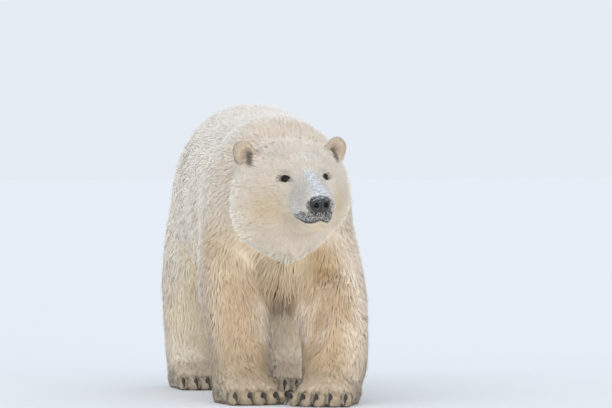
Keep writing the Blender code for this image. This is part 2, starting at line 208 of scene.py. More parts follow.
def coat_depth(points):
    """How far the tips of the fur stand off the skin."""
    ly = in_head(points)[:, 1]
    z = points[:, 2]
    body = mix(.01, .012, ramp(.25, .5, z))
    body = mix(body, .0075, ramp(.16, .07, z))
    body = mix(body, .002, ramp(.012, .002, z))
    face = mix(.003, .008, ramp(.13, -.05, ly))
    head = mix(.015, face, ramp(-.19, -.05, ly))
    depth = mix(body, head, head_share(points))
    return mix(depth, .004, ear_share(points))


def brisket(points):
    """1 on the lowest part of the chest, between the forelegs."""
    x, y, z = points.T
    share = ramp(-.52, -.42, y) * ramp(-.02, -.15, y) * ramp(.13, .06, np.abs(x + .01))
    return share * ramp(.56, .49, z) * ramp(.34, .38, z)


def collar_share(points):
    """1 round the ruff's lower edge, where it hangs over the neck and chest."""
    _, ly, lz = in_head(points).T
    share = ramp(-.09, -.15, ly) * ramp(-.37, -.29, ly)
    return share * ramp(.03, -.04, lz) * ramp(.42, .47, points[:, 2])


FOLDS = ((.447, .112, .042), (.43, .128, .055), (.411, .105, .04))    # height, middle, reach
LEG_FRONT = -.36        # the left foreleg's front lies ahead of this


def creases(points):
    """1 along the folds across the left foreleg's front, under the shoulder."""
    x, y, z = points.T
    total = np.zeros(len(points))
    for level, middle, reach in FOLDS:
        line = z - (level - 3.2 * (x - middle) ** 2)
        total += bell(line, 0, .0065) * ramp(reach + .012, reach - .012, np.abs(x - middle))
    return np.clip(total, 0, 1) * (y < LEG_FRONT)


def leg_shadow(points):
    """1 in the hollow down the front of the left foreleg, inside its outer lobe."""
    x, y, z = points.T
    line = x - (.092 - .4 * (.3 - z))
    return bell(line, 0, .026) * ramp(.36, .3, z) * ramp(.13, .2, z) * (y < LEG_FRONT)


JAW_ANGLE = .8          # from straight down towards the bear's left


def jaw_shape(points):
    """How the ruff is pulled: down to a point at the throat, and in under the jaw's left side."""
    lx, ly, lz = in_head(points).T
    rear = ramp(0.0, -.09, ly) * ramp(-.34, -.26, ly) * ramp(.4, .46, points[:, 2])
    round_way = np.arctan2(lx, -(lz + .08))
    pull = np.zeros_like(points)
    tuck = .022 * bell(round_way, JAW_ANGLE, .42) * rear
    pull[:, 0] -= tuck * np.sin(JAW_ANGLE)
    pull[:, 2] += tuck * np.cos(JAW_ANGLE)
    pull[:, 2] -= .024 * bell(lx, -.006, .055) * ramp(-.17, -.25, lz) * rear
    return from_head(pull)


def behind_shoulder(points):
    """How far points lie behind the shoulders' rear edge, and how clear that edge is there."""
    x, y, z = np.abs(points[:, 0]), points[:, 1], points[:, 2]
    behind = y + .095 + .1 * ramp(.62, .4, z) + .05 * ramp(.8, .95, z)
    behind = behind + .012 * waves(points, .16, 61)
    return behind, ramp(.28, .4, z) * mix(.55, 1.0, ramp(.1, .2, x))


# ---- the skin ----

def joined_flesh():
    bm = bmesh.new()
    for name in FILLED:
        bm.from_mesh(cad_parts[name].data)
    return mesh_of(bm, "flesh")


def smoothed(mesh, passes, weights):
    return applied(mesh, "SMOOTH", weights, factor=.5, iterations=passes, vertex_group="weights")


def skin_mesh():
    """The flesh as one surface: fused, smoothed, and sunk by the coat's depth."""
    fused = applied(joined_flesh(), "REMESH", mode="VOXEL", voxel_size=SKIN_VOXEL)
    points = coordinates(fused)
    careful = np.maximum(face_share(points), ramp(.1, .07, points[:, 2]))
    careful = np.maximum(careful, ear_share(points))
    passes = int(SKIN_PASSES * (FULL_VOXEL / SKIN_VOXEL) ** 2)
    smooth = smoothed(fused, passes, 1 - .85 * careful)
    points = coordinates(smooth)
    wrists = bell(points[:, 2], .125, .028)
    smooth = smoothed(smooth, passes * 5, np.maximum(collar_share(points), .5 * wrists))
    points, normals = coordinates(smooth), vertex_normals(smooth)
    behind, clear = behind_shoulder(points)
    edge = .004 * bell(behind, -.03, .04) - .012 * bell(behind, .045, .048)
    edge = edge * clear - .009 * creases(points) - .01 * leg_shadow(points)
    points = points + normals * (edge - coat_depth(points))[:, None] + jaw_shape(points)
    points[:, 2] = np.maximum(points[:, 2], SOLE)
    set_coordinates(smooth, points)
    keep = np.maximum(face_share(points), .7 * ear_share(points))
    triangles = 2 * len(smooth.polygons)
    return applied(smooth, "DECIMATE", 1 - keep, ratio=SKIN_TRIANGLES / triangles, vertex_group="weights",
                   vertex_group_factor=.002)


def refined(mesh, chosen):
    """The mesh in triangles, with the faces at these vertices divided once more."""
    bm = bmesh.new()
    bm.from_mesh(mesh)
    bmesh.ops.triangulate(bm, faces=bm.faces[:])
    edges = [e for e in bm.edges if chosen[e.verts[0].index] and chosen[e.verts[1].index]]
    bmesh.ops.subdivide_edges(bm, edges=edges, cuts=1, use_grid_fill=True)
    bmesh.ops.triangulate(bm, faces=bm.faces[:])
    bm.to_mesh(mesh)
    bm.free()
    return mesh


# ---- the face's forms, in the head frame ----

EAR_CENTRE, EAR_TURN, EAR_LEAN = (.156, -.157, .054), radians(24), radians(16)
EAR_ROWS = np.array((Matrix.Rotation(-EAR_TURN, 4, "Z") @ Matrix.Rotation(EAR_LEAN, 4, "Y")).to_3x3())


def mirrored(local, vectors):
    """The vectors, turned over in x for head-frame points on the bear's right."""
    signs = np.ones_like(local)
    signs[local[:, 0] < 0, 0] = -1
    return vectors * signs


def in_ear(local):
    """Head-frame points in the frame of their side's ear: x outward, y to the front, z to the tip."""
    return (mirrored(local, local) - EAR_CENTRE) @ EAR_ROWS


def near_ear(local):
    return np.linalg.norm(in_ear(local) * (1, 1.2, 1) + (0, 0, .03), axis=1) < .06


MOUTH_FRONT, MOUTH_BACK = (.166, -.1365), (.052, -.1135)    # how far ahead, and the level there


def mouth_level(local):
    """The mouth line's height: it dips under the lips and lifts again below the nose."""
    y = local[:, 1]
    share = (y - MOUTH_BACK[0]) / (MOUTH_FRONT[0] - MOUTH_BACK[0])
    level = mix(MOUTH_BACK[1], MOUTH_FRONT[1], np.clip(share, -.2, 1.2))
    level = level - .007 * np.sin(pi * np.clip(share, 0, 1))
    return level + .0065 * bell(local[:, 0], 0, .014) * ramp(.125, .15, y)


def mouth_share(local):
    """1 along the mouth line, 0 behind its corner."""
    return ramp(.04, .06, local[:, 1]) * (np.abs(local[:, 0]) < .11) * (local[:, 2] < -.09)


# The left eye's own frame: along the slit to its outer corner, up, and out of the socket.
SLIT_MIDDLE = np.array((EYE_SPACING / 2 - .0045, EYE_DEPTH, -EYE_DROP - .005))
EYE_OUT = unit(np.array((.46, .87, .12)))
EYE_ALONG = unit(np.cross(EYE_OUT, (-.1, 0, 1)))
EYE_UP = np.cross(EYE_ALONG, EYE_OUT)
EYE_ROWS = np.stack([EYE_ALONG, EYE_UP, EYE_OUT], 1)
BARE_SHIFT, BARE_LONG, BARE_HIGH = (.0025, 0, 0), .025, .0112       # the bare rim round an eye


def in_eye(local):
    """Head-frame points in the frame of their side's eye."""
    offset = local - SLIT_MIDDLE
    offset[:, 0] = np.abs(local[:, 0]) - SLIT_MIDDLE[0]
    return offset @ EYE_ROWS


def round_eye(eye, long, high):
    """How far points lie from the eye's middle, as a share of an oval of these half sizes."""
    return np.hypot(eye[:, 0] / long, eye[:, 1] / high) + 10 * (np.abs(eye[:, 2] - .01) > .04)


EAR_FILL = (    # lift, middle and width across the ear, middle and width up it
    (.013, .014, .019, .012, .03),
    (.007, -.004, .016, .026, .014),
    (-.003, -.014, .009, -.012, .016),
)


def sculpted(points, normals):
    """The skin with the face's folds pressed in."""
    local = in_head(points)
    x, y, z = np.abs(local[:, 0]), local[:, 1], local[:, 2]
    eye = in_eye(local)
    along, up, off = eye.T
    out = np.zeros(len(points))
    # the mouth line, with the upper lip standing over the lower
    above = z - mouth_level(local)
    for lift, level, width in ((-.0055, 0, .0035), (.003, .011, .009), (-.002, -.009, .007)):
        out += lift * bell(above, level, width) * mouth_share(local)
    # the groove under the nose
    front = ramp(.135, .155, y) * (above > -.004)
    out -= .003 * bell(x, 0, .0035) * front
    # each eye's hollow, with the brow over it, the pouch under it and the tear line ahead
    out -= .004 * bell(round_eye(eye, .024, .017), 0, 1)
    out += .0035 * bell(up, .021, .008) * bell(along, .002, .024) * (off > -.03)
    out += .0015 * bell(up, -.018, .006) * bell(along, .002, .018) * (off > -.03)
    out -= .003 * bell(up - .35 * (along + .02), -.002, .005) * bell(along, -.028, .012)
    # the fold from below the eye down the cheek
    fold = x - .1 - .25 * (z + .06) - .9 * np.maximum(-.1 - z, 0)
    out -= .0035 * bell(fold, 0, .01) * ramp(-.13, -.09, z) * ramp(-.02, -.05, z) * ramp(-.09, -.05, y)
    # the hide sinks behind the nose pad
    pad = np.hypot(local[:, 0] / .031, (z + .0755) / .026)
    out -= .015 * ramp(1.15, .75, pad) * ramp(.11, .13, y)
    # fur fills the outer part of each ear's hollow
    ear = in_ear(local)
    inside = (ear[:, 1] > -.012) * ramp(.2, .6, ear_share(points))
    for lift, aside, wide, level, high in EAR_FILL:
        out += lift * bell(ear[:, 0], aside, wide) * bell(ear[:, 2], level, high) * inside
    out = out * ramp(.35, .45, points[:, 2])
    # the muzzle narrows to a rounded lower end
    slim = np.zeros_like(points)
    slim[:, 0] = -np.where(local[:, 0] > 0, .24, .16) * local[:, 0] * ramp(.05, .12, y)
    slim[:, 0] *= ramp(-.085, -.125, z) * ramp(.4, .45, points[:, 2])
    return points + normals * (out + toe_relief(points))[:, None] + from_head(slim)


PAW_NAMES = ("forepaw_left", "forepaw_right", "hindpaw_left", "hindpaw_right")


def paw_frame(name):
    """A paw's middle on the floor, its ways to the toes and across, and its claws' middles there."""
    centre = np.array(node_middle(name)) * (1, 1, 0)
    claws = np.array([node_middle(f"claw_{name}_{i}") for i in range(1, 6)]) * (1, 1, 0)
    toward = unit(claws.mean(axis=0) - centre)
    across = np.cross(toward, (0, 0, 1))
    return centre, toward, across, claws


def toe_relief(points):
    """Round toes, with clefts between them."""
    out = np.zeros(len(points))
    for name in PAW_NAMES:
        centre, toward, across, claws = paw_frame(name)
        ahead, aside = (points - centre) @ toward, (points - centre) @ across
        claws = sorted(claws - centre, key=lambda place: place @ across)
        places = [place @ across for place in claws]
        tips = np.interp(aside, places, [place @ toward for place in claws])
        near = ramp(.085, .045, points[:, 2]) * ramp(-.085, -.055, ahead - tips) * (ahead < .3)
        near = near * (np.abs(aside) < .16)
        for a, b in zip(places, places[1:]):
            out -= .008 * bell(aside, (a + b) / 2, .0045) * near
        for a in places:
            out += .0018 * bell(aside, a, .012) * near
    return out


def finished_skin():
    """The skin, finer round the muzzle and the toes, with its folds pressed in."""
    mesh = skin_mesh()
    points = coordinates(mesh)
    lx, ly, _ = in_head(points).T
    z = points[:, 2]
    near = (ly > -.05) & (np.abs(lx) < .12) & (z > .4)
    near |= (z < .075) & (z > .004)
    mesh = refined(mesh, near)
    points = coordinates(mesh)
    set_coordinates(mesh, sculpted(points, vertex_normals(mesh)))
    return mesh


def unwrap(obj):
    obj.data.uv_layers.new(name="OFBake")
    bpy.context.view_layer.objects.active = obj
    obj.select_set(True)
    bpy.ops.object.mode_set(mode="EDIT")
    bpy.ops.mesh.select_all(action="SELECT")
    bpy.ops.uv.smart_project(angle_limit=radians(66), island_margin=.002)
    bpy.ops.object.mode_set(mode="OBJECT")
    obj.select_set(False)


# ---- markings, shared by skin and coat ----

def linear(*colours):
    """These sRGB colours, a row each, in linear light."""
    values = np.array(colours, float)
    return np.where(values <= .04045, values / 12.92, ((values + .055) / 1.055) ** 2.4)


BACK, FLANK, HIND, BELLY, CHEST = linear(
    (.905, .871, .828), (.935, .89, .825), (.945, .885, .805), (.95, .885, .78), (.825, .745, .63))
UNDER_RUFF_SHADOW, NECK, LEG, LOW_LEG, PALE_SIDE_AND_RIM_LIGHT, PAW = linear(
    (.71, .585, .4), (.87, .81, .735), (.755, .665, .55), (.725, .64, .525), (.905, .85, .785), (.815, .745, .645))
SHOULDER_RIM_LIGHT, SHADE, RUFF, HEAD_FUR, CROWN = linear(
    (.955, .94, .91), (.88, .81, .71), (.95, .92, .86), (.855, .81, .755), (.885, .835, .775))
CHIN, CHEEK, MUZZLE, BRIDGE, SMOKE, LIP = linear(
    (.75, .69, .61), (.79, .72, .61), (.725, .71, .68), (.68, .68, .68), (.165, .165, .175), (.11, .105, .11))
EAR, EAR_HOLLOW_SHADE, EYE_SHADE, EYE_GREY, FROST = linear(
    (.785, .72, .638), (.38, .33, .285), (.37, .33, .3), (.68, .665, .63), (.88, .9, .925))


def markings(points, normals):
    """The coat's colour at its tips, with painted light and shade in places, and how frosted it is there."""
    x, y, z = points.T
    local = in_head(points)
    lx, ly, lz = np.abs(local[:, 0]), local[:, 1], local[:, 2]
    tone = np.tile(FLANK, (len(points), 1))

    def lay(colour, share):
        tone[:] = tone + (colour - tone) * np.clip(share, 0, 1)[:, None]

    # the back, the chest and the belly
    lay(BACK, ramp(.1, .8, normals[:, 2]) * ramp(.6, .9, z))
    lay(NECK, ramp(-.22, -.4, y) * ramp(.5, .7, z))
    lay(HIND, ramp(.52, .3, z))
    lay(CHEST, ramp(-.1, -.3, y) * ramp(.7, .54, z) * ramp(-.1, .4, -normals[:, 1]))
    lay(BELLY, ramp(-.05, -.4, normals[:, 2]) * ramp(.62, .5, z))
    # painted shadow: a dark band on the upper left chest, under the ruff
    lay(UNDER_RUFF_SHADOW, .95 * ramp(-.28, -.36, y) * bell(x, .075, .055) * bell(z, .49, .055))
    low_chest = brisket(points) * ramp(-.05, -.2, y) * mix(.25, 1, ramp(.4, .46, z))
    lay(CHEST, .95 * low_chest)
    # painted shadow: the brisket darker on the bear's right side
    lay(LOW_LEG, .55 * low_chest * ramp(.03, -.03, x))
    # the legs: dark fronts, paler outer sides and feet, the outer sides partly painted rim light
    fore = ramp(.06, -.1, y)
    outward = normals[:, 0] * np.sign(x)
    left = x > 0
    lay(LEG, .4 * ramp(.34, .27, z) * ramp(.16, .08, np.abs(x - .03)) * ramp(.05, .15, y))
    lay(LEG, fore * ramp(.5, .4, z))
    lay(LOW_LEG, fore * ramp(.3, .14, z))
    outer = np.maximum(ramp(mix(.3, .1, left), mix(.8, .55, left), outward),
                       ramp(.12, .19, x) * ramp(.33, .25, z))
    outer = outer * ramp(mix(.55, .68, left), mix(.44, .56, left), z) * mix(.55, 1.0, ramp(.2, .34, z))
    lay(PALE_SIDE_AND_RIM_LIGHT, mix(.35, .9, left) * fore * outer)
    lay(PAW, ramp(.13, .07, z))
    # painted fill light: the lower hind legs lightened where they fall in shade
    lay(RUFF, ramp(.3, .14, z) * (1 - fore) * .3)
    # painted rim light: the forelegs' inner edges lightened where they fall in shade
    inner = ramp(.15, .7, -outward) * ramp(.42, .36, z) * ramp(.18, .27, z)
    lay(PALE_SIDE_AND_RIM_LIGHT, mix(.85, .7, left) * fore * inner)
    # the head, from the ruff to the muzzle
    head = head_share(points)
    above = lz - mouth_level(local)
    uneven = .012 * waves(points, .03, 32)
    lay(RUFF, head * ramp(-.04, -.14, ly))
    lay(CROWN, head * ramp(-.02, .05, lz))
    lay(HEAD_FUR, head * ramp(-.15, -.08, ly))
    lay(CHEEK, head * bell(lx, .115, .055) * bell(lz, -.11, .065) * ramp(-.14, -.07, ly))
    lay(CHIN, head * ramp(0.0, -.012, above) * ramp(-.02, .04, ly))
    middle = bell(local[:, 0], .003, .03) * ramp(.01, .05, ly) * ramp(.03, 0.0, lz)
    lay(BRIDGE, head * middle * (lz > -.08))
    side = ramp(.03, .1, ly + uneven) * ramp(.018, .05, lx + .5 * np.maximum(-lz - .06, 0))
    lay(MUZZLE, head * .9 * side * ramp(.02, -.04, lz + uneven) * ramp(-.004, .006, above))
    # round the eyes
    eye = in_eye(local)
    on_face = head * .7 * (eye[:, 2] > -.03)
    lay(EYE_SHADE, head * .8 * ramp(1.22, 1.02, round_eye(eye + BARE_SHIFT, BARE_LONG, BARE_HIGH)))
    lay(EYE_GREY, on_face * bell(eye[:, 1], .019, .008) * bell(eye[:, 0], -.004, .02))
    tear_line = eye[:, 1] - .45 * (eye[:, 0] + .02)
    lay(EYE_GREY, on_face * bell(tear_line, .002, .008) * bell(eye[:, 0], -.03, .014))
    # the shoulders' rear edges: painted rim light along each edge, painted shade just behind it
    behind, clear = behind_shoulder(points)
    lay(SHOULDER_RIM_LIGHT, mix(.7, .4, left) * clear * bell(behind, -.05, .06))
    lay(SHADE, .5 * clear * bell(behind, .05, .045))
    # the lips, the rim of the nose pad and the ears
    lips = lip_share(local, above)
    pad = np.hypot(local[:, 0] / .0345, (lz + .076) / .03)
    pad = pad + .06 * waves(points, .012, 43) + .5 * ramp(-.07, -.05, lz)
    grizzle = .5 + .5 * waves(points, .006, 44)
    lay(SMOKE, head * lips * mix(.55, 1.0, grizzle))
    lay(LIP, head * .85 * bell(above, .002, .0042) * ramp(.085, .115, ly))
    lay(LIP, head * .8 * ramp(1.28, 1.1, pad) * ramp(.1, .13, ly))
    lay(EAR, np.maximum(ear_share(points) * ramp(-.02, 0.0, in_ear(local)[:, 1]), .25 * head * near_ear(local)))
    # painted shade in the ears' hollows
    lay(EAR_HOLLOW_SHADE, ear_hollow_shade(local))
    # frost on the bridge, the forehead, the lips and beside the muzzle
    patchy = .5 + .5 * waves(points, .016, 31)
    ridge = bell(local[:, 0], .004, .019 + .01 * ramp(.1, .15, ly))
    ridge = ridge * ramp(-.012, .02, ly) * ramp(.03, .005, lz)
    frost = head * ridge * (lz > -.085) * mix(.3, 1.25, patchy)
    frost += head * .55 * patchy * bell(local[:, 0], .012, .05) * bell(lz, .05, .014) * ramp(-.09, -.05, ly)
    frost += head * .14 * lips * ramp(.003, .009, above) * mix(.2, 1.6, patchy)
    frost += head * .22 * ramp(.05, .1, ly) * ramp(0.0, .01, above) * bell(lx, .06, .02) * patchy
    return tone, np.clip(frost, 0, 1)


def lip_share(local, above):
    """1 on the dark lips: the muzzle's front under the nose, and a band along its sides."""
    y = local[:, 1]
    height = mix(.009, .036, ramp(.078, .14, y))
    edge = height + .003 * waves(local, .012, 41)
    return ramp(.004, -.004, above - edge) * ramp(.066, .085, y) * ramp(-.0055, -.0015, above)


def ear_hollow_shade(local):
    """1 where shade is painted in the hollow of an ear, on its inner and lower part."""
    ear = in_ear(local)
    tilted = ear[:, 0] + .014 - .25 * (ear[:, 2] + .01)
    spot = (tilted / .016) ** 2 + ((ear[:, 2] + .019) / .026) ** 2
    return .9 * ramp(1.6, .1, spot) * ramp(-.01, -.002, ear[:, 1])


# ---- materials ----

def fill_inputs(node, **settings):
    """Set a node's inputs, their names written with _ for a space."""
    for name, value in settings.items():
        node.inputs[name.replace("_", " ")].default_value = value


def material(name, roughness, specular, sheen):
    made = bpy.data.materials.new(name)
    made.use_nodes = True
    shader = made.node_tree.nodes["Principled BSDF"]
    fill_inputs(shader, Roughness=roughness, Sheen_Weight=sheen, Sheen_Roughness=.45, Specular_IOR_Level=specular)
    return made, shader


def node(made, kind, **settings):
    added = made.node_tree.nodes.new(kind)
    fill_inputs(added, **settings)
    return added


def join(made, start, output, end, entry):
    made.node_tree.links.new(start.outputs[output], end.inputs[entry])


def tinted(name, roughness, scale, contrast, specular=.25, sheen=0.0, bump=0.0, bump_scale=0.0):
    """A material in the colours painted on the mesh, mottled by noise, with a fine bump."""
    made, shader = material(name, roughness, specular, sheen)
    place = node(made, "ShaderNodeTexCoord")
    tint = node(made, "ShaderNodeAttribute")
    tint.attribute_name = "tint"
    noise = node(made, "ShaderNodeTexNoise", Scale=scale, Detail=4.0)
    levels = node(made, "ShaderNodeMapRange", To_Min=1 - contrast, To_Max=1 + contrast)
    scaled = node(made, "ShaderNodeVectorMath")
    scaled.operation = "SCALE"
    join(made, place, "Object", noise, "Vector")
    join(made, noise, "Fac", levels, "Value")
    join(made, tint, "Color", scaled, 0)
    join(made, levels, "Result", scaled, "Scale")
    join(made, scaled, "Vector", shader, "Base Color")
    if bump:
        grain = node(made, "ShaderNodeTexNoise", Scale=bump_scale, Detail=3.0)
        relief = node(made, "ShaderNodeBump", Strength=bump, Distance=.002)
        join(made, place, "Object", grain, "Vector")
        join(made, grain, "Fac", relief, "Height")
        join(made, relief, "Normal", shader, "Normal")
    return made


def paint(mesh, colours):
    """Store linear colours on the mesh, where the materials read them."""
    layer = mesh.color_attributes.new("tint", "FLOAT_COLOR", "POINT")
    full = np.ones((len(colours), 4), np.float32)
    full[:, :3] = colours
    layer.data.foreach_set("color", full.ravel())


SKIN_LOOK = tinted("skin", roughness=.75, scale=40.0, contrast=.1, sheen=.25, bump=.5, bump_scale=350.0)
COAT_LOOK = tinted("coat", roughness=.62, scale=9.0, contrast=.06, sheen=.45)


# ---- the skin, in its colours ----

skin = new_object("skin", finished_skin(), SKIN_LOOK)
unwrap(skin)
SKIN = coordinates(skin.data)
SKIN_NORMALS = vertex_normals(skin.data)
tone, frost = markings(SKIN, SKIN_NORMALS)
paint(skin.data, mix(tone, FROST, frost[:, None]) * (1, 1, .93))      # a little warmer than the coat
TREE = BVHTree.FromPolygons(SKIN.tolist(), [tuple(p.vertices) for p in skin.data.polygons])
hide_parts(*FLESH)
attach(skin, "root")


# ---- the coat ----

def paw_flow(points):
    """How far a point is on a paw, and the way from heel to toes there."""
    share, way = np.zeros(len(points)), np.zeros((len(points), 3))
    for name in PAW_NAMES:
        centre, toward, _, _ = paw_frame(name)
        near = np.linalg.norm((points - centre)[:, :2], axis=1) < .22
        fan = unit((points - centre) * (1, 1, 0) * 2.0 + toward)
        way[near] = fan[near]
        share[near] = ramp(.17, .1, points[near, 2])
    return share, way


def lie_of_coat(points, normals):
    """The way the fur runs: back from the nose, down the sides and legs, along the paws."""
    y, z = points[:, 1], points[:, 2]
    steep = 1 - np.abs(normals[:, 2])
    way = np.tile((0, 1.0, 0), (len(points), 1))
    way[:, 2] = -.15 - .75 * ramp(.1, .8, steep)
    way = mix(way, (0, .16, -1), ramp(.56, .4, z)[:, None])
    way = mix(way, (0, .25, -1), ramp(.84, .9, y)[:, None])
    share, toward = paw_flow(points)
    toward[:, 2] = -.35 - .8 * ramp(.3, .9, steep)
    way = mix(way, toward, share[:, None])
    local = in_head(points)
    lx, _, lz = local.T
    radial = np.stack([lx / .12, -np.ones(len(lx)), (lz + .07) / .12 * .6 - .22], 1)
    way = mix(way, from_head(unit(radial)), head_share(points)[:, None])
    tip = unit(in_ear(local) * (.6, 0, 1) + (0, 0, .045))
    way = mix(way, from_head(mirrored(local, tip @ EAR_ROWS.T)), ear_share(points)[:, None])
    way = unit(along_skin(way, normals))
    way = unit(mix(way, (0, -.05, -1), .85 * brisket(points)[:, None]))
    angle = radians(15) * waves(points, .19, 3) + radians(8) * waves(points, .045, 4)
    return turned(way, normals, angle * (1 - .6 * head_share(points)))


def along_skin(vectors, normals):
    """The vectors without their part along the normals."""
    return vectors - normals * np.sum(vectors * normals, axis=1, keepdims=True)


def turned(way, normals, angle):
    """Each way, turned about its normal."""
    across = np.cross(normals, way)
    return way * np.cos(angle)[:, None] + across * np.sin(angle)[:, None]


def tuft_length(points, normals):
    """How long the tufts are: shortest on the lips and face, longest between the forelegs."""
    z = points[:, 2]
    local = in_head(points)
    lx, ly, lz = local.T
    body = mix(.048, .046, ramp(.5, .3, z))
    body = mix(body, .068, ramp(-.35, -.75, normals[:, 2]) * ramp(.28, .36, z))
    body = mix(body, .066, ramp(.45, .8, normals[:, 1]) * ramp(.62, .5, z) * ramp(.16, .24, z))
    low = ramp(.52, .45, z) * ramp(.08, -.04, points[:, 1])
    body = mix(body, mix(.108, .145, low), brisket(points))
    body = mix(body, .034, ramp(.22, .12, z))
    body = mix(body, .023, ramp(.1, .03, z))
    head = mix(.0085, .015, ramp(.1, 0.0, ly))
    head = mix(head, .046, ramp(-.05, -.16, ly))
    head = mix(head, .06, collar_share(points))
    head = mix(head, .066, ramp(-.06, -.14, ly) * ramp(-.19, -.26, lz) * bell(lx, 0, .09))
    length = mix(body, head, head_share(points))
    length = np.where(near_ear(local), np.minimum(length, .015), length)
    length = mix(length, .0052, lip_share(local, lz - mouth_level(local)) * head_share(points))
    return mix(length, .016, ear_share(points))


def tuft_width(length):
    return np.minimum(.0011 + .058 * length, .0041)


def fringe(points, normals):
    """How freely the fur hangs: most on the brisket, the ruff, the legs' backs and the belly."""
    _, y, z = points.T
    legs = ramp(.15, .6, normals[:, 1]) * ramp(.52, .44, z) * ramp(.14, .26, z) * (y < 0)
    belly = ramp(-.05, -.5, normals[:, 2]) * ramp(.3, .36, z) * ramp(.6, .52, z)
    ruff = collar_share(points) * ramp(-.06, -.17, in_head(points)[:, 2])
    return np.maximum(np.maximum(.7 * ruff, .9 * brisket(points)), .6 * np.maximum(legs, belly))


def shaggy(points):
    """1 where the fur hangs in loose locks, on chest, belly and legs, and 0 on back and head."""
    z = points[:, 2]
    low = ramp(.66, .46, z) * (1 - head_share(points))
    return low * ramp(.05, .16, z)


def wanted(points, normals):
    """How many tufts a square metre wants, and none where bare skin shows."""
    length, z = tuft_length(points, normals), points[:, 2]
    cover = mix(4.2, 7.5, np.maximum(ramp(.01, .045, length), .7 * ramp(.2, .12, z)))
    local = in_head(points)
    bare = (z < .01) & (normals[:, 2] < -.3)
    bare |= round_eye(in_eye(local) + BARE_SHIFT, BARE_LONG, BARE_HIGH) < 1
    lx, ly, lz = local.T
    drop = lz + .0755
    nose = (lx / .035) ** 2 + (drop / np.where(drop > 0, .0235, .029)) ** 2
    bare |= (nose < 1) & (ly > .1)
    cover = cover * (1 + 1.2 * brisket(points))
    return np.where(bare, 0, cover / (length * tuft_width(length)))


ROOT_CELL = .02         # roots are spread evenly over cells of this size


def spread_roots(count):
    """Roots, as many as are wanted at each place: place, normal and place on the unwrap."""
    mesh = skin.data
    corners = np.empty((len(mesh.polygons), 3), np.int32)       # the skin is all triangles
    mesh.loops.foreach_get("vertex_index", corners.ravel())
    spots = np.empty((len(mesh.polygons), 3, 2), np.float32)
    mesh.uv_layers["OFBake"].uv.foreach_get("vector", spots.ravel())
    a, b, c = (SKIN[corners[:, i]] for i in range(3))
    centres = (a + b + c) / 3
    facing = np.cross(b - a, c - a)
    weight = np.linalg.norm(facing, axis=1) / 2 * wanted(centres, unit(facing))
    cells = np.floor(centres / ROOT_CELL).astype(int)
    order = np.lexsort((cells[:, 0], cells[:, 1], cells[:, 2]))
    edges = np.cumsum(weight[order])
    picks = (np.arange(count) + RNG.random(count)) / count * edges[-1]
    chosen = order[np.minimum(np.searchsorted(edges, picks), len(order) - 1)]
    root = np.sqrt(RNG.random(count))
    other = RNG.random(count)
    shares = np.stack([1 - root, root * (1 - other), root * other], 1)

    def blend(values):
        return np.einsum("nk,nkd->nd", shares, values)

    return blend(SKIN[corners[chosen]]), unit(blend(SKIN_NORMALS[corners[chosen]])), blend(spots[chosen])


def on_skin(points):
    """The nearest places on the skin, with its normals there."""
    places, normals = np.empty_like(points), np.empty_like(points)
    for i, point in enumerate(points.tolist()):
        place, normal, _, _ = TREE.find_nearest(point)
        places[i] = place
        normals[i] = normal
    return places, normals


CELL_KEYS = (73856093, 19349663, 83492791)      # large primes, to tell cells apart


def clump_of(points, size, seed):
    """A number for the clump that each point belongs to, of about this size."""
    source = np.random.default_rng(seed)
    bent = points + np.stack([waves(points, size * 4, seed + i, 3) for i in range(3)], 1) * size * .35
    turn = Matrix.Rotation(.7, 3, Vector((.4, .7, .6)).normalized())
    cells = np.floor(bent @ np.array(turn) / size + source.random(3)).astype(np.int64)
    return np.unique(np.bitwise_xor.reduce(cells * CELL_KEYS, axis=1), return_inverse=True)[1]


def clump_means(values, clump):
    """The mean of the values over each point's clump."""
    counts = np.maximum(np.bincount(clump), 1)
    return np.stack([np.bincount(clump, values[:, i]) / counts for i in range(values.shape[1])], 1)[clump]


STEPS = (0.0, .3, .58, .82, 1.0)    # how far along a tuft its rows lie, the last being its tip
BREADTHS = (.7, 1.0, .86, .5)       # the rows' shares of its width
STRAYS = .11                        # the share of tufts that stand out of the coat
ROOT_FILL_LIGHT, FOLD_SHADE = (1.1, 1.06, .99), (.33, .4, .47)
BRIGHTEST = .96


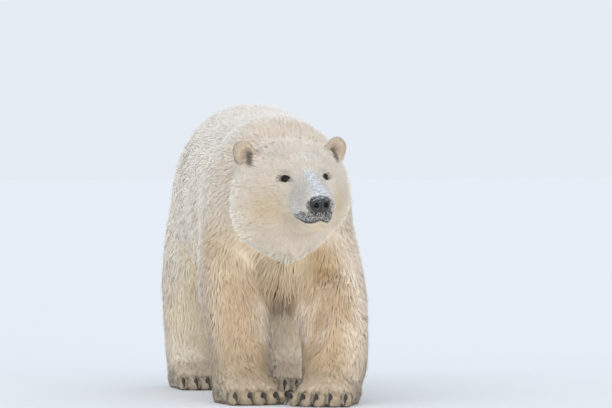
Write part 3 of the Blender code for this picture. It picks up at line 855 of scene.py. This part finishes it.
def grow(count):
    """Every tuft: its points, their normals and colours, its place on the unwrap, root and length."""
    roots, normals, spots = spread_roots(count)
    wide = (FULL_COAT / count) ** .5
    way = lie_of_coat(roots, normals)
    way = turned(way, normals, radians(9) * RNG.normal(size=count))
    depth = coat_depth(roots)
    length = tuft_length(roots, normals) * RNG.uniform(.72, 1.2, count)
    width = tuft_width(length) * RNG.uniform(.7, 1.25, count) * wide
    small, large = clump_of(roots, .02, 11), clump_of(roots, .052, 12)
    tips = roots + way * length[:, None]
    loose = ramp(.014, .04, length) * mix(.55, 1.0, shaggy(roots))
    pull = (clump_means(tips, small) - tips) * .22 + (clump_means(tips, large) - tips) * .07
    reach = np.linalg.norm(pull, axis=1)
    pull *= (loose * np.minimum(1, .22 * length / np.maximum(reach, 1e-6)))[:, None]
    tips = tips + pull
    stands = RNG.random(small.max() + 1)[small] ** 1.5
    spread = mix(.06, .1, shaggy(roots)) + .1 * brisket(roots)
    free = fringe(roots, normals)
    height = mix(.72, .97, free) - .5 * spread + spread * stands
    height = depth * (height + .05 * RNG.normal(size=count).clip(-2, 2))
    stray = RNG.random(count) < STRAYS
    height = height + stray * np.minimum(.25 * length, .013) * RNG.uniform(.3, 1.0, count)
    width = width * np.where(stray, .7, 1.0)
    foot, up = on_skin(tips)
    tips = mix(foot + up * height[:, None], tips + normals * (height * .8)[:, None], free[:, None])
    elbow = (roots + tips) / 2 + unit(normals + up) * (depth * mix(.62, .45, free))[:, None]
    local = in_head(roots)
    throat = ramp(-.1, -.18, local[:, 2]) * ramp(.06, -.02, local[:, 1]) * head_share(roots)
    # fur under the head and between the forelegs faces forward, not down
    ahead = np.maximum(1.2 * brisket(roots), .6 * throat)[:, None] * (0, -1, 0)
    lean = normals * .45 + up * .55
    lean[:, 2] *= mix(1, -.3, np.maximum(free, throat))
    lean = unit(lean + ahead)

    roll = RNG.normal(0, radians(8), count)
    sway = RNG.normal(0, .03, count) * length * (1 + 1.2 * brisket(roots))
    phase = RNG.uniform(0, 2 * pi, count)
    start = roots - normals * .0015
    verts = np.empty((count, 2 * len(BREADTHS) + 1, 3))
    facing = np.empty_like(verts)
    for row, t in enumerate(STEPS):
        middle = start * (1 - t) ** 2 + elbow * (2 * t * (1 - t)) + tips * t * t
        along = unit((elbow - start) * (1 - t) + (tips - elbow) * t)
        skinward = unit(along_skin(mix(normals, up, t) + ahead, along))
        across = np.cross(along, skinward)
        middle = middle + across * (sway * np.sin(phase + 4.5 * t))[:, None] * t
        if row == len(BREADTHS):
            verts[:, -1] = middle
            facing[:, -1] = unit(mix(skinward, lean, .7))
            break
        edge = across * np.cos(roll)[:, None] + skinward * np.sin(roll)[:, None]
        face = np.cross(edge, along)
        half = (width * BREADTHS[row] / 2)[:, None]
        shading = unit(mix(face, lean, .86))
        for corner, side in ((2 * row, -1), (2 * row + 1, 1)):
            verts[:, corner] = middle + edge * half * side
            facing[:, corner] = unit(shading + edge * .1 * side)
    verts[..., 2] = np.maximum(verts[..., 2], OFF_FLOOR)

    tone, frost = markings(roots, normals)
    frosted = RNG.random(count) < frost * .85
    tone[frosted] = FROST
    shade = 1 + .055 * RNG.normal(size=count) + .05 * (RNG.random(small.max() + 1)[small] - .5)
    shade += .05 * (RNG.random(large.max() + 1)[large] - .5) + .03 * waves(roots, .25, 21)
    tip_colour = np.clip(tone * shade[:, None], 0, BRIGHTEST)
    # painted fill light: roots paler than the tips, against the shade deep in the coat
    root_colour = np.clip(tip_colour * ROOT_FILL_LIGHT, 0, BRIGHTEST)
    colours = np.empty_like(verts)
    for row, t in enumerate(STEPS):
        colour = mix(root_colour, tip_colour, min(1, (t / .75)) ** 1.2)
        colours[:, 2 * row:2 * row + 2] = colour[:, None]
    flat = verts.reshape(-1, 3)
    # painted shade along the creases and down the hollow of the left foreleg
    fold_shade_share = np.clip(creases(flat) + .45 * leg_shadow(flat), 0, 1)[:, None]
    colours *= (1 - fold_shade_share * FOLD_SHADE).reshape(colours.shape)
    return verts, facing, colours, spots, roots, length


def tuft_mesh(name, verts, facing, colours, spots, short):
    """The tufts as one mesh, each of three quads, or one where short, and a triangle at its tip."""
    if short:
        keep = [0, 1, 4, 5, 8]
        verts, facing, colours = verts[:, keep], facing[:, keep], colours[:, keep]
    count, size = verts.shape[:2]
    faces = (size - 1) // 2
    corner = [2 * row + k for row in range(faces - 1) for k in (0, 1, 3, 2)] + [size - 3, size - 2, size - 1]
    corner = np.array(corner, np.int32)
    tufts = np.arange(count, dtype=np.int32)[:, None]
    mesh = bpy.data.meshes.new(name)
    mesh.vertices.add(count * size)
    mesh.vertices.foreach_set("co", verts.astype(np.float32).ravel())
    mesh.loops.add(count * len(corner))
    mesh.loops.foreach_set("vertex_index", (tufts * size + corner).ravel())
    mesh.polygons.add(count * faces)
    begin = tufts * len(corner) + 4 * np.arange(faces, dtype=np.int32)
    mesh.polygons.foreach_set("loop_start", begin.ravel())
    mesh.update(calc_edges=True)
    layer = mesh.uv_layers.new(name="OFBake")
    patch = np.stack([corner % 2 - .5, corner // 2 / faces - .5], 1) * BAKE_PATCH
    patch[-1, 0] = 0
    layer.uv.foreach_set("vector", (spots[:, None] + patch).astype(np.float32).ravel())
    paint(mesh, colours.reshape(-1, 3))
    obj = new_object(name, mesh, COAT_LOOK)
    mesh.normals_split_custom_set_from_vertices(facing.reshape(-1, 3).astype(np.float32))
    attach(obj, "root")


def area_names(roots, length):
    """The name of the coat piece that each tuft goes to."""
    x, y, z = roots.T
    head, leg = head_share(roots) > .5, z < .4
    areas = {"face": head & (length < .019), "head": head, "foreleg": leg & (y < .02), "hindleg": leg,
             "neck": y < -.46, "shoulder": y < -.3, "ribs": y < .02, "flank": y < .34}
    area = np.select(list(areas.values()), list(areas), "rump")
    return np.char.add(np.char.add("coat_", area), np.where(x > 0, "_left", "_right"))


verts, facing, colours, spots, roots, length = grow(TUFTS)
names = area_names(roots, length)
for name in np.unique(names):
    chosen = names == name
    tuft_mesh(str(name), verts[chosen], facing[chosen], colours[chosen], spots[chosen], "face" in str(name))


# ---- the eyes and their lids ----

def eye_point(along, up, out, side):
    """The world place of a point in the frame of this side's eye."""
    return HEAD_AT + from_head((SLIT_MIDDLE + EYE_ROWS @ np.array((along, up, out))) * (side, 1, 1))


BALL_RADIUS = .018      # flatter than the CAD's small sphere
BALL_FRONT = .0118      # its front, out from the CAD eye's centre
EYE_LOOK = tinted("eyes", roughness=.07, scale=60.0, contrast=.05, specular=.22)
LID_LOOK = tinted("lids", roughness=.6, scale=200.0, contrast=.15, specular=.15, bump=.35, bump_scale=700.0)
EYE_WHITE, IRIS, PUPIL = linear((.11, .085, .075), (.22, .13, .085), (.02, .02, .02))
LID_SKIN, LID_EDGE = linear((.4, .36, .32), (.085, .065, .06))


def eyeball(side, name):
    """A dark ball with a low bulge over the iris."""
    bm = bmesh.new()
    bmesh.ops.create_uvsphere(bm, u_segments=48, v_segments=32, radius=BALL_RADIUS)
    mesh = mesh_of(bm, name)
    points = coordinates(mesh)
    radius = np.hypot(points[:, 0], points[:, 1])
    front = points[:, 2] > 0
    colours = np.tile(EYE_WHITE, (len(points), 1))
    colours = mix(colours, IRIS, (ramp(.0088, .0078, radius) * front)[:, None])
    colours = mix(colours, PUPIL, (ramp(.0048, .0038, radius) * front)[:, None])
    paint(mesh, colours)
    cornea = .001 * ramp(.0095, 0.0, radius) * front
    placed = [eye_point(p[0], p[1], p[2] + c + BALL_FRONT - BALL_RADIUS, side) for p, c in zip(points, cornea)]
    set_coordinates(mesh, np.array(placed))
    obj = new_object(f"eyeball_{name}", mesh, EYE_LOOK)
    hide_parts(f"eye_{name}")
    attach(obj, "root")


def lid_edge(angle):
    """The slit's edge at an angle round it, from its outer corner: along and up."""
    along = cos(angle) * (.016 if cos(angle) > 0 else .0205)
    high = .0061 if sin(angle) > 0 else .0052
    up = high * sin(angle) * abs(sin(angle)) ** .3
    return along, up - .0016 * max(0, -cos(angle)) ** 3


LID_ROWS = (    # out from the slit's edge, height over the ball, share of the skin's own height
    (-.0008, .0000, 0.0),
    (.0000, .0009, 0.0),
    (.0007, .0018, 0.0),
    (.0017, .0022, .05),
    (.003, .0018, .25),
    (.0046, .001, .6),
    (.0068, .0002, .92),
    (.01, -.0014, 1.0),
)
LID_RAY = .06           # how far outside the eye the search for the hide starts


def lids(side, name):
    """Both lids as one ring, from the ball's surface out over the hide."""
    steps, bm, rows, colours = 56, bmesh.new(), [], []
    out_way = Vector(from_head(EYE_OUT * (side, 1, 1)))
    for out, raised, share in LID_ROWS:
        row = []
        for step in range(steps):
            angle = 2 * pi * step / steps
            along, up = lid_edge(angle)
            away = Vector((along / .013, up / .0075)).normalized()
            if out > .002:
                away = away.lerp(Vector((cos(angle), sin(angle))), min(1, out / .008)).normalized()
            along, up = along + away.x * out * 1.2, up + away.y * out * .85
            on_ball = BALL_FRONT - BALL_RADIUS + max(0, BALL_RADIUS ** 2 - along ** 2 - up ** 2) ** .5
            start = Vector(eye_point(along, up, LID_RAY, side))
            hit = TREE.ray_cast(start, -out_way, 2 * LID_RAY)[0]
            on_hide = LID_RAY - (start - hit).length if hit else on_ball
            heavy = .0008 if sin(angle) > .2 else 0
            level = mix(on_ball + raised + heavy * (raised > 0), on_hide + raised, share)
            row.append(bm.verts.new(eye_point(along, up, level, side)))
            colours.append(mix(LID_SKIN, LID_EDGE, ramp(.0095, .0048, out)))
        rows.append(row)
    add_rings(bm, rows, flip=side > 0)
    mesh = mesh_of(bm, f"lids_{name}")
    paint(mesh, np.array(colours))
    obj = new_object(f"lids_{name}", mesh, LID_LOOK)
    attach(obj, "root")


for eye_side, eye_name in ((1, "left"), (-1, "right")):
    eyeball(eye_side, eye_name)
    lids(eye_side, eye_name)


# ---- the nose pad ----

NOSE_AT, NOSE_HALF = (0, .1515, -.0755), (.0365, .023, .0315)
NOSE_POWER = 2.5            # how square its rounding is
NOSTRIL_AT, NOSTRIL_HALF = (.0165, -.0035), (.0068, .0078)
NOSE_BLACK, NOSTRIL_SHADE, NOSE_TOP_HIGHLIGHT = linear((.155, .15, .16), (.03, .03, .03), (.27, .26, .27))


def nose_pad():
    """The pad, with its nostrils, their side slits and the groove between, pebbled and frosted."""
    bm = bmesh.new()
    bmesh.ops.create_uvsphere(bm, u_segments=160, v_segments=110, radius=1)
    mesh = mesh_of(bm, "nose_pad")
    ball = coordinates(mesh)[:, [0, 2, 1]]      # its poles point ahead and behind
    size = (np.abs(ball) ** NOSE_POWER).sum(axis=1) ** (-1 / NOSE_POWER)
    form = ball * size[:, None]
    high = form[:, 2]
    form[:, 0] *= 1 - .16 * ramp(.1, -1.0, high) + .03 * ramp(0.0, .8, high)
    form[:, 1] -= (.22 * ramp(.2, 1.0, high) + .1 * ramp(-.3, -1.0, high)) * (form[:, 1] > 0)
    points = form * NOSE_HALF
    x, z = np.abs(points[:, 0]), points[:, 2]
    ahead = ramp(-.2, .3, form[:, 1])
    from_hole = np.hypot((x - NOSTRIL_AT[0]) / NOSTRIL_HALF[0], (z - NOSTRIL_AT[1]) / NOSTRIL_HALF[1])
    hole = ramp(1.25, .7, from_hole)
    slit_level = -.0075 + .25 * (x - NOSTRIL_AT[0])
    slit = bell(z, slit_level, .0022) * ramp(.014, .018, x) * ramp(.034, .028, x)
    rim = bell(from_hole, 1.45, .3)
    carve = -.0105 * hole - .0045 * slit * (1 - hole) + .001 * rim
    carve -= .0022 * bell(x, 0, .0016) * ramp(.004, -.012, z)
    carve -= .0012 * bell(x, 0, .006) * ramp(.02, -.01, z)
    points[:, 1] += carve * ahead
    pebbles = .00028 * waves(points, .0034, 51, 7) * (1 - hole)
    points = points + unit(form) * (pebbles * ahead)[:, None]
    tone = np.tile(NOSE_BLACK, (len(points), 1))
    # painted shade in the nostrils and their side slits
    tone = mix(tone, NOSTRIL_SHADE, np.clip(hole + .8 * slit, 0, 1)[:, None])
    # painted highlight: the top of the pad lighter grey
    tone = mix(tone, NOSE_TOP_HIGHLIGHT, (.5 * ramp(.4, 1.0, high))[:, None])
    dusted = ramp(.35, .8, high + .3 * waves(points, .007, 53))
    dusted = dusted * ramp(-.2, .5, waves(points, .0035, 54, 7))
    tone = mix(tone, FROST, (.75 * dusted)[:, None])
    paint(mesh, tone)
    set_coordinates(mesh, HEAD_AT + (points + NOSE_AT) @ HEAD_ROWS.T)
    look = tinted("nose_leather", roughness=.38, scale=420.0, contrast=.18, specular=.45,
                  bump=.6, bump_scale=900.0)
    obj = new_object("nose_pad", mesh, look)
    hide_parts("nose")
    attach(obj, "root")


nose_pad()


# ---- the claws ----

CLAW_LOOK = tinted("claw_horn", roughness=.33, scale=90.0, contrast=.25, specular=.5,
                   bump=.25, bump_scale=500.0)
CLAW_ROOT, CLAW_TIP = linear((.16, .145, .13), (.3, .27, .24))
UP = np.array((0, 0, 1))


def claw(name, paw):
    """A curved claw with a keeled back, from inside the toe to a worn tip."""
    centre, toward, _, _ = paw_frame(paw)
    points = coordinates(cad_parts[name].data)
    ahead = (points - centre) @ toward
    root = points[ahead < np.quantile(ahead, .1) + .002].mean(axis=0)
    tip = points[np.argmax(ahead)]
    way = unit((tip - root) * (1, 1, 0))
    across = np.cross(way, UP)
    bm, rows, colours = bmesh.new(), [], []
    steps, sides = 14, 16
    for i in range(steps + 1):
        t = i / steps
        middle = root + (tip - root) * t * .82
        middle = middle + UP * (.012 * sin(pi * min(1, t * 1.05)) * (1 - .3 * t))
        slope = UP * .5 * (t - .3) + way
        upward = unit(np.cross(across, unit(slope)))
        upward = upward if upward[2] > 0 else -upward
        thick = .0078 * (1 - t ** 1.7) ** .75 + .0008
        row = []
        for j in range(sides):
            angle = 2 * pi * j / sides
            keel = 1.18 if sin(angle) > .8 else 1.0
            spot = middle + across * (cos(angle) * thick * .78) + upward * (sin(angle) * thick * 1.15 * keel)
            spot[2] = max(spot[2], OFF_FLOOR)
            row.append(bm.verts.new(spot))
            colours.append(mix(CLAW_ROOT, CLAW_TIP, .6 * t ** 2))
        rows.append(row)
    add_rings(bm, rows)
    bm.faces.new(rows[0])
    bm.faces.new(rows[-1])
    bmesh.ops.recalc_face_normals(bm, faces=bm.faces[:])
    mesh = mesh_of(bm, name + "_horn")
    paint(mesh, np.array(colours))
    obj = new_object(name + "_horn", mesh, CLAW_LOOK)
    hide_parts(name)
    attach(obj, "root")


for paw in PAW_NAMES:
    for number in range(1, 6):
        claw(f"claw_{paw}_{number}", paw)


# ---- the stage ----

AZIMUTH, ELEVATION, DISTANCE = radians(-10), radians(1), 16.0
VIEW_WIDTH = 2.0196         # how wide the view is at the eyes
AIM_ASIDE, AIM_DROP = .0033, .0891    # where it is centred, from the midpoint between the eyes
SENSOR_WIDTH = 36


def camera():
    """A nearly level view from ahead of the bear and a little to its right, from far off."""
    back = Vector((sin(AZIMUTH) * cos(ELEVATION), -cos(AZIMUTH) * cos(ELEVATION), sin(ELEVATION)))
    right = Vector((cos(AZIMUTH), sin(AZIMUTH), 0))
    aim = EYES + right * AIM_ASIDE - Vector((0, 0, AIM_DROP))
    lens = bpy.data.cameras.new("camera")
    lens.sensor_width = SENSOR_WIDTH
    lens.lens = SENSOR_WIDTH * DISTANCE / VIEW_WIDTH
    lens.clip_end = 200
    obj = linked("camera", lens)
    obj.location = aim + back * DISTANCE
    obj.rotation_mode = "QUATERNION"
    obj.rotation_quaternion = (-back).to_track_quat("-Z", "Y")
    bpy.context.scene.camera = obj


def floor():
    """A plain pale floor that reaches the horizon."""
    reach = 60.0
    corners = [(-reach, -reach, 0), (reach, -reach, 0), (reach, reach, 0), (-reach, reach, 0)]
    mesh = bpy.data.meshes.new("floor")
    mesh.from_pydata(corners, [], [(0, 1, 2, 3)])
    made, shader = material("floor", roughness=.9, specular=0.0, sheen=0.0)
    noise = node(made, "ShaderNodeTexNoise", Scale=.7, Detail=3.0)
    place = node(made, "ShaderNodeTexCoord")
    mixed = node(made, "ShaderNodeMixRGB", Color1=(.8, .818, .842, 1), Color2=(.812, .83, .855, 1))
    join(made, place, "Object", noise, "Vector")
    join(made, noise, "Fac", mixed, "Fac")
    join(made, mixed, "Color", shader, "Base Color")
    obj = new_object("floor", mesh, made, smooth=False)


def light(name, kind, energy, turn, colour, **settings):
    lamp = bpy.data.lights.new(name, kind)
    lamp.energy = energy
    lamp.color = colour
    for setting, value in settings.items():
        setattr(lamp, setting, value)
    obj = linked(name, lamp)
    obj.rotation_euler = [radians(a) for a in turn]
    return obj


SKY = (.784, .839, .905, 1)

world = bpy.data.worlds.new("studio")
bpy.context.scene.world = world
world.use_nodes = True
fill_inputs(world.node_tree.nodes["Background"], Color=SKY, Strength=1.0)
light("key", "SUN", .25, (34, -16, 0), (1.0, .985, .96), angle=radians(60))
light("fill", "SUN", 1.35, (86, 0, -26), (1.0, .98, .95), angle=radians(100))
light("low", "SUN", 1.05, (88, 0, 20), (1.0, .98, .95), angle=radians(40))
bounce = light("bounce", "AREA", 4.2, (180, 0, 0), (1.0, .96, .9), shape="RECTANGLE", size=1.1, size_y=.6)
bounce.location = (0.0, -1.2, .012)
bounce.visible_camera = False
bpy.context.scene.view_settings.view_transform = "Standard"
floor()
camera()
